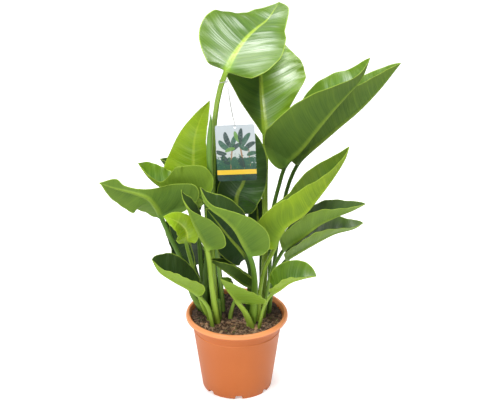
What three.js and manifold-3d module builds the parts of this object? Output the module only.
// A bird of paradise plant (Strelitzia) in a nursery pot, with a hanging plant tag.
// Millimetres, +Z up. The origin is the centre of the pot's underside, -Y is the front.
import * as THREE from 'three';
import { mergeVertices } from 'three/addons/utils/BufferGeometryUtils.js';
import Module from 'manifold-3d';

const wasm = await Module();
wasm.setup();

// ---------------------------------------------------------------- driving dimensions

const POT = {
  height: 167.5,
  footRadius: 71,
  shoulderZ: 133,        // a fine ledge; above it the wall is a little thinner
  lipZ: 155,             // underside of the rolled lip
  lipRadius: 105,
  mouthRadius: 97.3,
  wall: 2.6,
  slope: 0.1395,         // how fast the wall's radius grows with height
  floor: 11,             // thickness of the foot, which the drain channels are cut into
  segments: 48,
};
const CHANNELS = { count: 7, first: -87, low: 17, high: 12, height: 8, inner: 36, slot: [6, 16] };
const SOIL = { top: 160, edge: 92, lump: 2.2, gap: 0.35, rings: [22, 46, 68, 85], segments: 24 };
const HOLE = { floor: 136, clear: 1.0 };       // plain holes that the stalks stand in
const STALK_FOOT = HOLE.floor + 0.35;
const COLLAR = 166;                            // the stalks leave the soil upright, to here
const STALK = { above: 0.5, below: 0.92 };      // how far a stalk bulges, as a share of its half width
const BLADE_THICKNESS = 1.0;
const TAG = { width: 78, height: 125, thickness: 0.8, corner: 5, hole: 2.4 };
const THREAD = { radius: 0.6, sides: 8 };

// ---------------------------------------------------------------- colours

const GREEN = new THREE.MeshStandardMaterial({ color: 0x4b8a2a, roughness: 0.42, metalness: 0 });
const YOUNG = new THREE.MeshStandardMaterial({ color: 0x8fc02c, roughness: 0.4, metalness: 0 });
const DARK = new THREE.MeshStandardMaterial({ color: 0x2f5f22, roughness: 0.4, metalness: 0 });
const TERRACOTTA = new THREE.MeshStandardMaterial({ color: 0xd8865a, roughness: 0.5, metalness: 0 });
const EARTH = new THREE.MeshStandardMaterial({ color: 0x4a3226, roughness: 0.95, metalness: 0 });
const CARD = new THREE.MeshStandardMaterial({ color: 0xdfe6ea, roughness: 0.45, metalness: 0 });
const STRING = new THREE.MeshStandardMaterial({ color: 0xf0eee6, roughness: 0.6, metalness: 0 });

// ---------------------------------------------------------------- closed lofts

/** A closed body through rings of points. The first half of a ring is its upper side, from left
 *  to right, and the second half its under side, from right to left. Both sides split alike. */
function loft(rings) {
  const size = rings[0].length;
  const positions = rings.flat().flatMap((p) => [p.x, p.y, p.z]);
  const index = [];
  for (let i = 0; i < rings.length - 1; i += 1) {
    for (let k = 0; k < size; k += 1) {
      const a = i * size + k;
      const b = i * size + ((k + 1) % size);
      const [c, d] = [b + size, a + size];
      if (k < size / 2) index.push(a, b, c, a, c, d);
      else index.push(a, b, d, b, c, d);
    }
  }
  const last = (rings.length - 1) * size;
  for (let k = 0; k < size / 2 - 1; k += 1) {
    const under = size - 1 - k;
    index.push(k, under, under - 1, k, under - 1, k + 1);
    index.push(last + k, last + under - 1, last + under, last + k, last + k + 1, last + under - 1);
  }
  const geometry = new THREE.BufferGeometry();
  geometry.setAttribute('position', new THREE.Float32BufferAttribute(positions, 3));
  geometry.setIndex(index);
  return geometry;
}

function toManifold(geometry) {
  const bare = geometry.clone();
  bare.deleteAttribute('normal');
  bare.deleteAttribute('uv');
  const merged = mergeVertices(bare, 1e-4);
  return new wasm.Manifold(new wasm.Mesh({
    numProp: 3,
    vertProperties: new Float32Array(merged.attributes.position.array),
    triVerts: new Uint32Array(merged.index.array),
  }));
}

function fromManifold(solid) {
  const mesh = solid.getMesh();
  const geometry = new THREE.BufferGeometry();
  geometry.setAttribute('position', new THREE.BufferAttribute(mesh.vertProperties, 3));
  geometry.setIndex(new THREE.BufferAttribute(mesh.triVerts, 1));
  return geometry;
}

// ---------------------------------------------------------------- leaf

const PI = Math.PI;
const vec = (a) => new THREE.Vector3(...a);
const radians = THREE.MathUtils.degToRad;
const UP = vec([0, 0, 1]);

/** Points evenly known by their length along a smooth line through the given points. */
class Spine {
  constructor(stalk, blade) {
    const points = [...stalk.map(([x, y, z], i) => vec([x, y, i ? z : COLLAR])), ...blade.map(vec)];
    const curve = new THREE.CatmullRomCurve3(points);
    this.steps = 240;
    this.points = Array.from({ length: this.steps + 1 }, (_, i) => curve.getPoint(i / this.steps));
    this.lengths = [0];
    for (let i = 1; i <= this.steps; i += 1) {
      this.lengths.push(this.lengths[i - 1] + this.points[i].distanceTo(this.points[i - 1]));
    }
    this.total = this.lengths[this.steps];
    const base = (stalk.length / (points.length - 1)) * this.steps;
    const whole = Math.floor(base);
    this.base = this.lengths[whole] + (base - whole) * (this.lengths[whole + 1] - this.lengths[whole]);
  }

  at(length) {
    const l = Math.min(Math.max(length, 0), this.total);
    let i = 0;
    while (i < this.steps - 1 && this.lengths[i + 1] < l) i += 1;
    const part = (l - this.lengths[i]) / (this.lengths[i + 1] - this.lengths[i]);
    return this.points[i].clone().lerp(this.points[i + 1], part);
  }

  tangent(length) {
    const reach = this.total * 0.01;
    return this.at(length + reach).sub(this.at(length - reach)).normalize();
  }
}

/** A value given at the blade's base, middle and tip, in between. */
function along([base, middle, tip], s) {
  return base * (1 - s) * (1 - 2 * s) + middle * 4 * s * (1 - s) + tip * s * (2 * s - 1);
}

/** The directions given for the upper face, in between. */
function facing(faces, s) {
  if (faces.length === 1) return vec(faces[0]);
  const p = s * (faces.length - 1);
  const i = Math.min(Math.floor(p), faces.length - 2);
  const w = (p - i) ** 2 * (3 - 2 * (p - i));
  return vec(faces[i]).lerp(vec(faces[i + 1]), w);
}

/** A value known at some places, smooth in between: [[place, value], ...]. */
function through(knots, s) {
  let i = 0;
  while (i < knots.length - 2 && knots[i + 1][0] < s) i += 1;
  const slope = (k) => {
    const [a, b] = [knots[Math.max(k - 1, 0)], knots[Math.min(k + 1, knots.length - 1)]];
    return (b[1] - a[1]) / (b[0] - a[0]);
  };
  const [[x0, y0], [x1, y1]] = [knots[i], knots[i + 1]];
  const gap = x1 - x0;
  const w = (s - x0) / gap;
  return y0 * (1 + 2 * w) * (1 - w) ** 2 + slope(i) * gap * w * (1 - w) ** 2
    + y1 * w * w * (3 - 2 * w) - slope(i + 1) * gap * w * w * (1 - w);
}

/** Half the blade's width at s from its base, as a share of its widest. */
function outline({ width, margin, widest, taper, blunt }, s) {
  if (margin) return Math.max(0, through(margin, s)) / width;
  if (s < widest) return Math.max(0, 1 - (1 - s / widest) ** blunt) ** (1 / blunt);
  return Math.max(0, 1 - ((s - widest) / (1 - widest)) ** 2) ** taper;
}

/** How far out, how high and how steep a half blade lies, x of the way to its margin. */
function cross(width, fold, curl, x) {
  if (Math.abs(curl) < 1e-3) return [width * x * Math.cos(fold), width * x * Math.sin(fold), fold];
  return [
    (width * (Math.sin(fold + curl * x) - Math.sin(fold))) / curl,
    (width * (Math.cos(fold) - Math.cos(fold + curl * x))) / curl,
    fold + curl * x,
  ];
}

const half = (values) => ({
  widest: 0.4, taper: 0.95, blunt: 2.3, fold: [20, 20, 20], curl: [0, 0, 0], wave: [2, 2, 0], ...values,
});

const FINE = {
  stalk: [0, 0.1, 0.3, 0.6, 0.9],
  blade: [0, 0.03, 0.1, 0.2, 0.32, 0.45, 0.58, 0.7, 0.82, 0.92, 1],
  across: [-1, -0.66, -0.33, 0, 0.33, 0.66, 1],
};
const PLAIN = {
  stalk: [0, 0.2, 0.55],
  blade: [0, 0.05, 0.18, 0.36, 0.55, 0.74, 0.9, 1],
  across: [-1, -0.5, 0, 0.5, 1],
};

/** One leaf: its stalk from the soil up, and its blade with the midrib under it. */
function leafGeometry(leaf) {
  const { grid } = leaf;
  const spine = new Spine(leaf.stalk, leaf.blade);
  const [rootHalf, neckHalf] = leaf.thick;
  const up = BLADE_THICKNESS / 2;

  const ring = (centre, tangent, face, point) => {
    const n = face.clone().addScaledVector(tangent, -face.dot(tangent)).normalize();
    const r = new THREE.Vector3().crossVectors(tangent, n);
    const upper = [];
    const under = [];
    for (const u of grid.across) {
      const { out, high, steep, forward, above, below } = point(u);
      const p = centre.clone().addScaledVector(r, Math.sign(u) * out).addScaledVector(n, high)
        .addScaledVector(tangent, forward);
      const lean = Math.min(Math.sin(steep), 0.8 * out);   // so the halves don't cross at the rib
      const m = n.clone().multiplyScalar(Math.cos(steep)).addScaledVector(r, -Math.sign(u) * lean);
      upper.push(p.clone().addScaledVector(m, up).addScaledVector(n, above));
      under.push(p.clone().addScaledVector(m, -up).addScaledVector(n, -below));
    }
    return [...upper, ...under.reverse()];
  };

  const stalkRing = (centre, tangent, face, length) => {
    const wide = neckHalf + (rootHalf - neckHalf) * Math.exp(-((length / 85) ** 2));   // the sheath
    return ring(centre, tangent, face, (u) => {
      const cap = Math.cos((PI / 2) * u);
      return {
        out: wide * Math.sin((PI / 2) * Math.abs(u)), high: 0, steep: 0, forward: 0,
        above: neckHalf * STALK.above * cap, below: neckHalf * STALK.below * cap,
      };
    });
  };

  const bladeRing = (s) => {
    const length = spine.base + (spine.total - spine.base) * s;
    const rib = neckHalf * (1 - s) ** 0.8 + 0.3;
    const open = Math.min(1, s / 0.05);
    return ring(spine.at(length), spine.tangent(length), facing(leaf.face, s), (u) => {
      const side = u < 0 ? leaf.left : leaf.right;
      const x = Math.abs(u);
      const width = Math.max(side.width * outline(side, s), s < 0.5 ? rib : 0.8);
      const fold = radians(along(side.fold, s)) * open;
      const curl = radians(along(side.curl, s)) * open;
      const [out, high, steep] = cross(width, fold, curl, x);
      const [size, waves, phase] = side.wave;
      const swell = Math.min(size, 0.12 * width) * x * x * Math.sin(2 * PI * (waves * s + phase))
        * Math.sin(PI * s) ** 0.5;
      const cap = s > 0 ? Math.max(0, 1 - x / 0.3) : Math.cos((PI / 2) * u);
      return {
        out: out - swell * Math.sin(steep),
        high: high + swell * Math.cos(steep),
        steep,
        forward: along(side.sweep ?? leaf.sweep, s) * width * x * x * open,
        above: rib * 0.5 * cap * (1 - open),
        below: rib * 0.9 * cap,
      };
    });
  };

  const foot = vec([leaf.stalk[0][0], leaf.stalk[0][1], STALK_FOOT]);
  const rings = [
    stalkRing(foot, UP, vec(leaf.face[0]), 0),
    stalkRing(foot.clone().setZ(COLLAR), UP, vec(leaf.face[0]), 0),
    ...grid.stalk.slice(1).map((s) => {
      const length = spine.base * s;
      return stalkRing(spine.at(length), spine.tangent(length), vec(leaf.face[0]), length);
    }),
    ...grid.blade.map(bladeRing),
  ];
  return loft(rings);
}

// ---------------------------------------------------------------- the leaves
// stalk: from the soil to just under the blade; blade: along the midrib to the tip.
// face: the way the upper face looks at the base, middle and tip.
// fold and curl: how far a half is raised, and bent more towards its margin, in degrees.
// margin: the width of a half, given along the blade, where its outline isn't a plain oval.

const LEAVES = [
  {
    name: 'leaf_top', material: GREEN, grid: FINE, thick: [8.5, 5.6],
    stalk: [[-45, 10, 0], [-50, 20, 320], [-47, 24, 485], [-44, 20, 580], [-33, 0, 660]],
    blade: [
      [-20, -6, 702], [-7, 18, 721], [17, 75, 736], [41, 125, 741],
      [59, 160, 742], [71, 190, 746], [86, 225, 758],
    ],
    face: [[-0.35, -0.6, 0.7], [-0.2, -0.25, 0.95], [-0.2, 0.1, 1]], sweep: [-0.35, -0.05, 0],
    left: half({
      width: 90,
      margin: [[0, 0], [0.03, 30], [0.1, 53], [0.2, 74], [0.35, 91], [0.5, 88], [0.62, 66],
        [0.85, 32], [1, 0]],
      fold: [20, 26, 12], curl: [10, 0, 0], wave: [4, 2.5, 0.1],
    }),
    right: half({
      width: 90,
      margin: [[0, 0], [0.03, 48], [0.1, 80], [0.25, 96], [0.45, 82], [0.6, 60], [0.75, 44],
        [0.9, 34], [1, 0]],
      fold: [5, 8, 10], curl: [0, -20, 0], wave: [5, 2, 0.4],
    }),
  },
  {
    name: 'leaf_top_rear', material: GREEN, grid: FINE, thick: [8, 6],
    stalk: [[52, 34, 0], [58, 48, 285], [57, 60, 410], [58, 65, 480]],
    blade: [[58, 70, 522], [55, 82, 560], [50, 110, 610], [49, 160, 655], [60, 215, 695]],
    face: [[0.1, -0.9, 0.4], [0.1, -0.75, 0.65], [0.1, -0.3, 0.9]], sweep: [0.1, 0.1, 0.1],
    left: half({
      width: 86, widest: 0.6, taper: 0.9, blunt: 1,
      fold: [25, 15, 10], curl: [0, -10, 0], wave: [3, 2, 0.2],
    }),
    right: half({
      width: 92, widest: 0.5, taper: 0.8, blunt: 1.2,
      fold: [25, 12, 10], curl: [0, -15, 0], wave: [5, 3, 0.1],
    }),
  },
  {
    name: 'leaf_right_upper', material: GREEN, grid: FINE, thick: [8, 5.6],
    stalk: [[66, 20, 0], [66, 36, 260], [70, 44, 365], [84, 40, 435]],
    blade: [
      [97, 34, 482], [128, 28, 520], [160, 26, 565], [190, 30, 603],
      [220, 40, 635], [246, 52, 662], [264, 70, 700],
    ],
    face: [[-0.75, 0.1, 0.6]], sweep: [-0.1, 0, 0.1],
    left: half({ width: 80, widest: 0.5, taper: 0.9, fold: [45, 40, 35], wave: [3, 2, 0] }),
    right: half({
      width: 84, widest: 0.22, taper: 1.5,
      fold: [78, 62, 30], curl: [10, 10, 0], wave: [4, 2, 0.3],
    }),
  },
  {
    name: 'leaf_right_rear', material: GREEN, grid: FINE, thick: [7.5, 5.4],
    stalk: [[66, 41, 0], [76, 62, 250], [90, 84, 345], [104, 95, 410]],
    blade: [
      [124, 100, 456], [145, 100, 480], [174, 100, 507], [208, 102, 538],
      [244, 108, 568], [284, 118, 608], [330, 135, 662],
    ],
    face: [[-0.7, 0.1, 0.65]], sweep: [-0.1, 0, 0.1],
    left: half({ width: 76, widest: 0.45, taper: 0.9, fold: [45, 40, 40], wave: [3, 2, 0] }),
    right: half({
      width: 76, widest: 0.3, taper: 1,
      fold: [66, 62, 50], curl: [5, 5, 0], wave: [3, 2, 0.3],
    }),
  },
  {
    name: 'leaf_right_bright', material: YOUNG, grid: FINE, thick: [9, 5.6],
    stalk: [[42, -27, 0], [47, -38, 245], [55, -42, 290], [66, -42, 315]],
    blade: [
      [75, -40, 335], [84, -38, 360], [101, -36, 384], [133, -30, 405],
      [164, -20, 440], [195, -8, 480], [216, 4, 512], [224, 12, 534],
    ],
    face: [[-0.7, 0.1, 0.65]], sweep: [-0.1, 0, 0.1],
    left: half({ width: 58, widest: 0.5, taper: 0.9, fold: [50, 50, 40], wave: [3, 2, 0] }),
    right: half({
      width: 62, widest: 0.25, taper: 1.3,
      fold: [68, 50, 30], curl: [5, 10, 0], wave: [3, 2, 0.3],
    }),
  },
  {
    name: 'leaf_right_middle', material: GREEN, grid: FINE, thick: [7.5, 5],
    stalk: [[54, -12, 0], [61, -10, 220], [70, -8, 265], [84, -6, 295]],
    blade: [
      [94, -5, 312], [112, -2, 324], [130, 0, 336], [165, 4, 364],
      [201, 10, 380], [232, 16, 390], [260, 22, 402],
    ],
    face: [[-0.55, 0.2, 0.8]], sweep: [-0.1, 0, 0.1],
    left: half({ width: 54, widest: 0.5, taper: 0.8, fold: [35, 35, 30], wave: [3, 2, 0] }),
    right: half({
      width: 50, widest: 0.3, taper: 1,
      fold: [50, 40, 20], curl: [5, 10, 0], wave: [3, 2, 0.3],
    }),
  },
  {
    name: 'leaf_right_lower', material: GREEN, grid: FINE, thick: [7, 4.6],
    stalk: [[66, 4, 0], [71, 10, 210], [80, 14, 245], [90, 16, 265]],
    blade: [
      [100, 18, 277], [123, 20, 292], [142, 22, 303], [170, 26, 318],
      [201, 32, 331], [240, 40, 338], [257, 44, 348],
    ],
    face: [[-0.5, 0.2, 0.85]], sweep: [-0.1, 0, 0.1],
    left: half({ width: 56, widest: 0.5, taper: 0.7, fold: [35, 35, 30], wave: [3, 2, 0] }),
    right: half({
      width: 44, widest: 0.35, taper: 1,
      fold: [32, 28, 15], curl: [5, 10, 0], wave: [3, 2, 0.3],
    }),
  },
  {
    name: 'leaf_low_right', material: GREEN, grid: PLAIN, thick: [7.5, 4.4],
    stalk: [[46, -50, 0], [54, -50, 205], [66, -52, 232]],
    blade: [[74, -54, 240], [86, -58, 250], [107, -62, 268], [133, -66, 279], [160, -70, 286]],
    face: [[-0.3, 0.1, 0.95]], sweep: [-0.2, 0.1, 0.2],
    left: half({ width: 42, widest: 0.5, taper: 0.8, fold: [60, 70, 50], curl: [0, 10, 0] }),
    right: half({ width: 30, widest: 0.35, taper: 0.8, fold: [40, 35, 30], wave: [2, 2, 0.3] }),
  },
  {
    name: 'leaf_low_front', material: GREEN, grid: FINE, thick: [9.5, 4.4],
    stalk: [[28, -50, 0], [17, -54, 196], [8, -59, 213]],
    blade: [[1, -64, 225], [-6, -74, 241], [-14, -88, 260], [-22, -103, 279], [-31, -120, 306]],
    face: [[0.44, 0.62, 0.62]], sweep: [-0.45, -0.25, 0.1],
    left: half({ width: 66, widest: 0.34, taper: 0.9, blunt: 2.2, fold: [20, 15, 10], wave: [0, 2, 0] }),
    right: half({ width: 32, fold: [60, 60, 50], wave: [2, 2, 0.3] }),
  },
  {
    name: 'leaf_low_left', material: GREEN, grid: PLAIN, thick: [7, 4.4],
    stalk: [[-50, -46, 0], [-56, -50, 200], [-66, -60, 225]],
    blade: [[-79, -68, 244], [-97, -76, 262], [-126, -88, 286], [-153, -98, 312], [-167, -104, 342]],
    face: [[0.2, 0.1, 0.97]], sweep: [-0.25, 0, 0.1],
    left: half({ width: 34, widest: 0.25, taper: 1.2, fold: [45, 45, 30] }),
    right: half({
      width: 52, widest: 0.55, taper: 0.7,
      fold: [50, 50, 40], curl: [0, 10, 0], wave: [2, 2, 0.3],
    }),
  },
  {
    name: 'leaf_left_wide', material: GREEN, grid: FINE, thick: [8, 5],
    stalk: [[-62, -4, 0], [-84, -2, 195], [-96, -6, 230], [-111, -16, 295], [-132, -26, 350]],
    blade: [
      [-149, -33, 398], [-160, -38, 425], [-175, -43, 447],
      [-200, -46, 459], [-236, -50, 471], [-271, -54, 486],
    ],
    face: [[0.4, 0.8, 0.3], [0, 1, 0.05], [0, 1, 0.2]], sweep: [-0.35, 0.15, 0.25],
    left: half({
      width: 90,
      margin: [[0, 0], [0.04, 60], [0.1, 86], [0.18, 88], [0.26, 60], [0.36, 22], [0.5, 11],
        [0.68, 11], [0.8, 19], [1, 0]],
      fold: [32, 40, 60], sweep: [-0.05, 0, 0], wave: [4, 2, 0],
    }),
    right: half({
      width: 46, widest: 0.42, taper: 1.4, blunt: 1.9,
      fold: [0, 0, 0], curl: [0, 10, 0], sweep: [-0.35, 0.05, 0.25],
    }),
  },
  {
    name: 'leaf_left_upper', material: GREEN, grid: FINE, thick: [7, 4.6],
    stalk: [[-66, 22, 0], [-64, 18, 230], [-60, 10, 320], [-60, 0, 390]],
    blade: [
      [-65, -6, 428], [-90, -6, 438], [-121, -5, 443],
      [-151, -6, 455], [-174, -8, 476], [-195, -10, 508],
    ],
    face: [[0.3, 0.3, 0.9]], sweep: [-0.2, 0.1, 0.1],
    left: half({
      width: 66,
      margin: [[0, 0], [0.04, 40], [0.12, 62], [0.3, 58], [0.46, 50], [0.57, 12], [0.7, 5], [1, 0]],
      fold: [75, 70, 50],
    }),
    right: half({
      width: 46, margin: [[0, 0], [0.05, 30], [0.2, 44], [0.45, 44], [0.65, 42], [0.85, 30], [1, 0]],
      fold: [45, 45, 40], curl: [0, 10, 0],
    }),
  },
  {
    name: 'leaf_upright_young', material: YOUNG, grid: FINE, thick: [7, 4.4],
    stalk: [[-52, 27, 0], [-70, 34, 225], [-76, 37, 300], [-80, 40, 350]],
    blade: [[-84, 42, 382], [-86, 44, 412], [-87, 48, 470], [-84, 56, 530], [-71, 66, 572], [-54, 80, 604]],
    face: [[-0.1, -0.9, 0.4]], sweep: [-0.1, 0.1, 0.1],
    left: half({
      width: 68, margin: [[0, 0], [0.04, 40], [0.12, 62], [0.3, 64], [0.55, 42], [0.8, 18], [1, 0]],
      fold: [10, 5, 20],
    }),
    right: half({ width: 32, widest: 0.35, taper: 0.8, fold: [10, 10, 30], curl: [0, 10, 0] }),
  },
  {
    name: 'leaf_left_rear', material: DARK, grid: PLAIN, thick: [6, 4.2],
    stalk: [[-50, 54, 0], [-68, 72, 230], [-80, 80, 295]],
    blade: [[-89, 84, 348], [-102, 84, 386], [-127, 86, 430], [-156, 92, 470]],
    face: [[0.5, 0.4, 0.7]], sweep: [-0.1, 0.1, 0.1],
    left: half({ width: 30, fold: [50, 50, 40] }),
    right: half({ width: 74, widest: 0.5, taper: 1.1, fold: [40, 40, 40], curl: [0, 10, 0] }),
  },
  {
    name: 'leaf_front_left', material: GREEN, grid: FINE, thick: [7, 5.2],
    stalk: [[-40, -35, 0], [-45, -46, 210], [-50, -60, 265], [-54, -70, 320]],
    blade: [
      [-58, -76, 348], [-67, -82, 371], [-78, -88, 399], [-89, -94, 429],
      [-96, -98, 452], [-104, -102, 474], [-107, -106, 496],
    ],
    face: [[0.3, 0.8, 0.5]], sweep: [-0.4, -0.1, 0.1],
    left: half({
      width: 52,
      margin: [[0, 0], [0.04, 30], [0.12, 42], [0.3, 45], [0.48, 32], [0.6, 14], [0.7, 4], [1, 0]],
      fold: [20, 25, 20], wave: [0, 2, 0],
    }),
    right: half({ width: 40, fold: [72, 84, 70] }),
  },
  {
    name: 'leaf_front_middle', material: GREEN, grid: FINE, thick: [9, 5.6],
    stalk: [[32, -38, 0], [37, -56, 255], [34, -70, 305]],
    blade: [
      [27, -78, 336], [13, -84, 368], [-3, -90, 402], [-26, -97, 431],
      [-47, -103, 451], [-62, -107, 471], [-70, -111, 504],
    ],
    face: [[0.4, 0.4, 0.8]], sweep: [-0.4, 0, 0.1],
    left: half({
      width: 54,
      margin: [[0, 0], [0.04, 32], [0.12, 48], [0.25, 54], [0.4, 42], [0.55, 22], [0.7, 10],
        [0.85, 6], [1, 0]],
      fold: [50, 55, 50],
    }),
    right: half({
      width: 50, margin: [[0, 0], [0.05, 34], [0.3, 50], [0.55, 46], [0.75, 34], [0.9, 20], [1, 0]],
      fold: [60, 60, 50],
    }),
  },
  {
    name: 'leaf_behind_tag', material: DARK, grid: FINE, thick: [6.5, 4.4],
    stalk: [[30, 32, 0], [30, 38, 210], [24, 44, 275], [13, 46, 325]],
    blade: [[0, 46, 364], [1, 48, 408], [13, 50, 435], [26, 58, 480], [35, 74, 537]],
    face: [[-0.1, -0.8, 0.6]], sweep: [-0.2, 0, 0.1],
    left: half({ width: 44, fold: [20, 15, 20] }),
    right: half({ width: 48, widest: 0.35, taper: 0.8, fold: [10, 10, 10], curl: [0, -10, 0] }),
  },
  {
    name: 'leaf_rear_centre', material: DARK, grid: PLAIN, thick: [6, 4.2],
    stalk: [[-30, 46, 0], [-46, 72, 210], [-43, 75, 280]],
    blade: [[-31, 70, 316], [-26, 68, 340], [-27, 66, 392], [-25, 72, 455], [-17, 88, 520]],
    face: [[0.1, -0.8, 0.6]], sweep: [-0.2, 0, 0.1],
    left: half({ width: 40, fold: [20, 15, 20] }),
    right: half({ width: 34 }),
  },
  {
    name: 'leaf_unrolling', material: YOUNG, grid: PLAIN, thick: [5.5, 3.8],
    stalk: [[-56, -22, 0], [-72, -24, 205], [-83, -30, 260], [-92, -38, 305]],
    blade: [[-100, -54, 353], [-99, -58, 374], [-106, -62, 393], [-122, -66, 409], [-144, -70, 420]],
    face: [[0.1, -0.7, 0.7]], sweep: [-0.1, 0, 0.1],
    left: half({ width: 28 }),
    right: half({ width: 26 }),
  },
  {
    name: 'leaf_low_middle', material: GREEN, grid: PLAIN, thick: [5.5, 3.8],
    stalk: [[30, -18, 0], [34, -26, 190], [36, -31, 222]],
    blade: [[33, -36, 240], [15, -40, 252], [-8, -44, 272], [-30, -48, 292], [-57, -52, 315]],
    face: [[0.4, 0.3, 0.85]], sweep: [-0.2, 0, 0.1],
    left: half({ width: 30, fold: [40, 45, 40] }),
    right: half({ width: 34, fold: [40, 40, 40] }),
  },
  {
    name: 'leaf_inner_low', material: DARK, grid: PLAIN, thick: [5.5, 3.6],
    stalk: [[-38, 34, 0], [-48, 39, 196], [-57, 44, 232]],
    blade: [[-60, 46, 248], [-50, 44, 258], [-25, 42, 262], [0, 40, 270], [20, 38, 288]],
    face: [[-0.2, 0.3, 0.9]], sweep: [-0.2, 0, 0.1],
    left: half({ width: 26, fold: [50, 50, 50] }),
    right: half({ width: 26, fold: [45, 45, 45] }),
  },
  {
    name: 'leaf_inner_left', material: DARK, grid: PLAIN, thick: [5.5, 3.6],
    stalk: [[-64, 42, 0], [-76, 52, 190], [-83, 57, 222]],
    blade: [[-88, 60, 242], [-91, 60, 258], [-95, 60, 282], [-95, 61, 310], [-91, 66, 345]],
    face: [[-0.1, -0.7, 0.7]], sweep: [-0.2, 0, 0.1],
    left: half({ width: 34 }),
    right: half({ width: 30 }),
  },
  {
    name: 'leaf_inner_lower_left', material: DARK, grid: PLAIN, thick: [5.5, 3.6],
    stalk: [[-76, 14, 0], [-86, 14, 188], [-95, 16, 218]],
    blade: [[-104, 18, 243], [-112, 18, 270], [-124, 18, 305], [-134, 20, 336], [-140, 26, 375]],
    face: [[0.2, -0.6, 0.7]], sweep: [-0.2, 0, 0.1],
    left: half({ width: 24, fold: [40, 40, 30] }),
    right: half({ width: 30 }),
  },
  {
    name: 'leaf_inner_middle', material: DARK, grid: PLAIN, thick: [5.5, 3.6],
    stalk: [[22, 10, 0], [26, 6, 215], [26, 0, 265]],
    blade: [[19, -6, 293], [6, -10, 315], [-12, -14, 340], [-35, -16, 374], [-61, -14, 410]],
    face: [[0.1, -0.8, 0.6]], sweep: [-0.2, 0, 0.1],
    left: half({ width: 40 }),
    right: half({ width: 40 }),
  },
  {
    name: 'leaf_inner_right', material: DARK, grid: PLAIN, thick: [5.5, 3.6],
    stalk: [[42, 48, 0], [50, 52, 190], [50, 60, 245]],
    blade: [[50, 64, 283], [46, 66, 313], [43, 68, 343], [41, 72, 376], [40, 78, 404]],
    face: [[0.1, -0.8, 0.6]], sweep: [-0.2, 0, 0.1],
    left: half({ width: 26 }),
    right: half({ width: 24 }),
  },
];

// ---------------------------------------------------------------- pot and soil

function potGeometry() {
  const outer = (z) => POT.footRadius + POT.slope * z;
  const inner = (z) => outer(z) - POT.wall;
  const { floor, shoulderZ, lipZ, lipRadius, mouthRadius, height } = POT;
  const profile = [
    [0, 0], [POT.footRadius - 1.5, 0], [POT.footRadius, 1.5],
    [outer(shoulderZ) + 0.2, shoulderZ], [outer(shoulderZ) - 0.8, shoulderZ + 1],
    [outer(lipZ - 9) - 0.8, lipZ - 9], [outer(lipZ - 4) + 1.2, lipZ - 4], [99.5, lipZ],
    [lipRadius - 1, lipZ + 1.6], [lipRadius, lipZ + 4.6], [lipRadius - 1.2, lipZ + 9.2],
    [lipRadius - 4.2, height], [mouthRadius, height], [mouthRadius - 1.6, height - 4],
    [inner(150), 150], [inner(floor), floor], [0, floor],
  ].map(([r, z]) => new THREE.Vector2(r, z));
  return new THREE.LatheGeometry(profile, POT.segments).rotateX(PI / 2);
}

/** A closed bar along +X: the section of a drain channel, cut off at both ends. */
function channelGeometry(from, to) {
  const { low, high, height } = CHANNELS;
  const section = new THREE.Shape([[-low / 2, -1], [low / 2, -1], [high / 2, height], [-high / 2, height]]
    .map(([y, z]) => new THREE.Vector2(y, z)));
  const bar = new THREE.ExtrudeGeometry(section, { depth: to - from, bevelEnabled: false });
  return bar.rotateX(PI / 2).rotateZ(PI / 2).translate(from, 0, 0);
}

function drainedPot() {
  let pot = toManifold(potGeometry());
  for (let k = 0; k < CHANNELS.count; k += 1) {
    const turn = radians(CHANNELS.first + (360 / CHANNELS.count) * k);
    const [wide, long] = CHANNELS.slot;
    const slot = new THREE.BoxGeometry(long, wide, 10).translate(56, 0, 10);
    pot = pot.subtract(toManifold(channelGeometry(CHANNELS.inner, 90).rotateZ(turn)));
    pot = pot.subtract(toManifold(slot.rotateZ(turn)));
  }
  return fromManifold(pot);
}

/** How much higher the soil lies at a place than its mean level. */
const lumps = (x, y) => (
  SOIL.lump * (Math.sin(x / 11 + 1.3) * Math.cos(y / 9) + 0.5 * Math.sin(x / 5 - y / 6))
);

function soilGeometry() {
  const inner = (z) => POT.footRadius + POT.slope * z - POT.wall - SOIL.gap;
  const bottom = POT.floor + SOIL.gap;
  const turns = Array.from({ length: SOIL.segments }, (_, k) => (2 * PI * k) / SOIL.segments);
  const level = (r, z) => turns.map((a) => [r * Math.cos(a), r * Math.sin(a), z ?? null]);
  const rings = [level(inner(bottom), bottom), level(inner(149), 149), level(SOIL.edge, SOIL.top - 3),
    ...[...SOIL.rings].reverse().map((r) => level(r))];
  const points = rings.flat().map(([x, y, z]) => [x, y, z ?? SOIL.top + lumps(x, y)]);
  const size = SOIL.segments;
  const [low, top] = [points.length, points.length + 1];
  points.push([0, 0, bottom], [0, 0, SOIL.top + lumps(0, 0)]);
  const index = [];
  for (let i = 0; i < rings.length - 1; i += 1) {
    for (let k = 0; k < size; k += 1) {
      const [a, b] = [i * size + k, i * size + ((k + 1) % size)];
      index.push(a, b, b + size, a, b + size, a + size);
    }
  }
  const last = (rings.length - 1) * size;
  for (let k = 0; k < size; k += 1) {
    index.push(low, (k + 1) % size, k, top, last + k, last + ((k + 1) % size));
  }
  const geometry = new THREE.BufferGeometry();
  geometry.setAttribute('position', new THREE.Float32BufferAttribute(points.flat(), 3));
  geometry.setIndex(index);
  return geometry;
}

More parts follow.
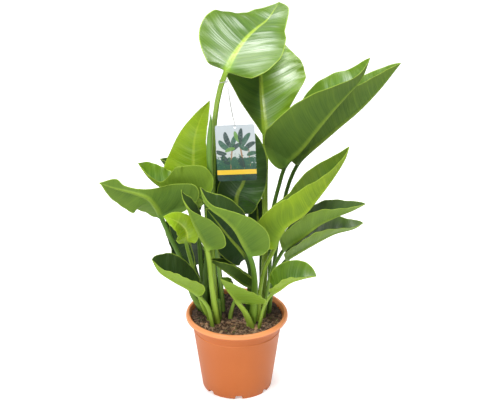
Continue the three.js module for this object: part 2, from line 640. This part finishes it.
/** The plain eight-sided hole in which a stem stands, turned as the stem is. */
function holeGeometry({ at: [x, y], wide, above, below, face }) {
  const reach = 1 / Math.cos(PI / 8);
  const outlineAt = (a) => {
    const across = (wide + HOLE.clear) * reach * Math.cos(a);
    const high = ((above + below) / 2 + HOLE.clear) * reach * Math.sin(a) + (above - below) / 2;
    return new THREE.Vector2(across, high);
  };
  const corners = Array.from({ length: 8 }, (_, k) => outlineAt((PI / 4) * (k + 0.5)));
  const hole = new THREE.ExtrudeGeometry(new THREE.Shape(corners), { depth: 60, bevelEnabled: false });
  const turn = Math.atan2(face[1], face[0]) - PI / 2;
  return hole.rotateZ(turn).translate(x, y, HOLE.floor);
}

function plantedSoil(stems) {
  let soil = toManifold(soilGeometry());
  for (const stem of stems) soil = soil.subtract(toManifold(holeGeometry(stem)));
  return fromManifold(soil);
}

// ---------------------------------------------------------------- round stems, tag and string

/** A round tube through points, each with its own radius; the ends are flat. */
function tubeGeometry(points, radii, sides) {
  const places = points.map(vec);
  const n = vec([0, 1, 0]);
  const rings = places.map((p, i) => {
    const before = places[Math.max(i - 1, 0)];
    const after = places[Math.min(i + 1, places.length - 1)];
    const tangent = after.clone().sub(before).normalize();
    n.addScaledVector(tangent, -n.dot(tangent)).normalize();
    const r = new THREE.Vector3().crossVectors(tangent, n);
    return Array.from({ length: sides }, (_, k) => {
      const a = PI - (2 * PI * (k + 0.5)) / sides;
      return p.clone().addScaledVector(r, radii[i] * Math.cos(a))
        .addScaledVector(n, radii[i] * Math.sin(a));
    });
  });
  return loft(rings);
}

// A leaf that is still rolled up, a cut-off stalk and a young shoot: [x, y, z, radius]
const ROUND_STEMS = [
  {
    name: 'leaf_rolled', material: GREEN,
    path: [[-29, 17, 0, 5], [-29, 17, COLLAR, 5], [-41, 10, 320, 5.2], [-50, 9, 440, 5.8],
      [-53, 8, 510, 6.8], [-53, 6, 550, 6.2], [-51, 5, 585, 3.8], [-50, 4, 608, 0.8]],
  },
  {
    name: 'stalk_stub', material: GREEN,
    path: [[-35, -21, 0, 4.6], [-35, -21, COLLAR, 4.6], [-36, -23, 186, 4.6], [-38, -25, 208, 4.4]],
  },
  {
    name: 'shoot_young', material: YOUNG,
    path: [[-13, -17, 0, 4.6], [-13, -17, COLLAR, 4.6], [-8, -20, 190, 3.8], [-3, -25, 212, 2.4],
      [-1, -27, 224, 0.8]],
  },
];

const TAG_TOP = [-3, -16, 588];       // the hole at the tag's top edge
const TAG_LEAN = { roll: 2.4, back: 3 };

function tagGeometry() {
  const { width, height, thickness, corner, hole } = TAG;
  const card = new THREE.Shape();
  const [w, low, high] = [width / 2, 6 - height, 6];
  card.moveTo(-w + corner, low).lineTo(w - corner, low).absarc(w - corner, low + corner, corner, -PI / 2, 0)
    .lineTo(w, high - corner).absarc(w - corner, high - corner, corner, 0, PI / 2)
    .lineTo(-w + corner, high).absarc(-w + corner, high - corner, corner, PI / 2, PI)
    .lineTo(-w, low + corner).absarc(-w + corner, low + corner, corner, PI, 1.5 * PI);
  card.holes.push(new THREE.Path().absarc(0, 0, hole, 0, 2 * PI, true));
  const body = new THREE.ExtrudeGeometry(card, { depth: thickness, bevelEnabled: false, curveSegments: 6 });
  return body.translate(0, 0, -thickness / 2).rotateX(PI / 2);
}

// ---------------------------------------------------------------- assembly

const plant = new THREE.Group();

function add(name, geometry, material) {
  const mesh = new THREE.Mesh(geometry, material);
  mesh.name = name;
  plant.add(mesh);
  return mesh;
}

const roundStems = ROUND_STEMS.map((stem) => {
  const path = stem.path.map(([x, y, z, r], i) => [x, y, i ? z : STALK_FOOT, r]);
  return { ...stem, path };
});
const holes = [
  ...LEAVES.map(({ stalk, thick: [wide, neck], face }) => ({
    at: stalk[0],
    wide,
    above: neck * STALK.above + BLADE_THICKNESS / 2,
    below: neck * STALK.below + BLADE_THICKNESS / 2,
    face: face[0],
  })),
  ...roundStems.map(({ path: [[x, y, , r]] }) => (
    { at: [x, y], wide: r, above: r, below: r, face: [0, 1, 0] }
  )),
];

add('pot', drainedPot(), TERRACOTTA);
add('soil', plantedSoil(holes), EARTH);
for (const leaf of LEAVES) add(leaf.name, leafGeometry(leaf), leaf.material);
for (const { name, material, path } of roundStems) {
  add(name, tubeGeometry(path.map((p) => p.slice(0, 3)), path.map((p) => p[3]), 10), material);
}
const tag = add('tag', tagGeometry(), CARD);
tag.position.set(TAG_TOP[0], TAG_TOP[1], TAG_TOP[2]);
tag.rotation.set(radians(TAG_LEAN.back), radians(-TAG_LEAN.roll), 0);

// The string: round the top leaf's neck, down, through the tag's hole and up to where it began.
const STRING_PATH = [
  [-20, -11.2, 684], [-25.6, -10.4, 682.2], [-31.2, -8, 680], [-33.6, -3, 679.4], [-32.6, 2.4, 681],
  [-26.8, 4.4, 683], [-20, 1.4, 684.6], [-17, -4.2, 685], [-16.6, -9.4, 682.5], [-13.8, -12.6, 660],
  [-8, -13.4, 620], [-3.4, -14, 597], [-3, -14.3, 592], [-3, -14.8, 590], [-3, -15.3, 589.3],
  [-3, -16, 589.2], [-3, -16.7, 589.3], [-3, -17.4, 590], [-3, -17.8, 592], [-3.6, -18, 597],
  [-9, -16.4, 620], [-15.4, -14.4, 660], [-19.7, -12.7, 683],
];
add('string', tubeGeometry(STRING_PATH, STRING_PATH.map(() => THREAD.radius), THREAD.sides), STRING);

export default plant;
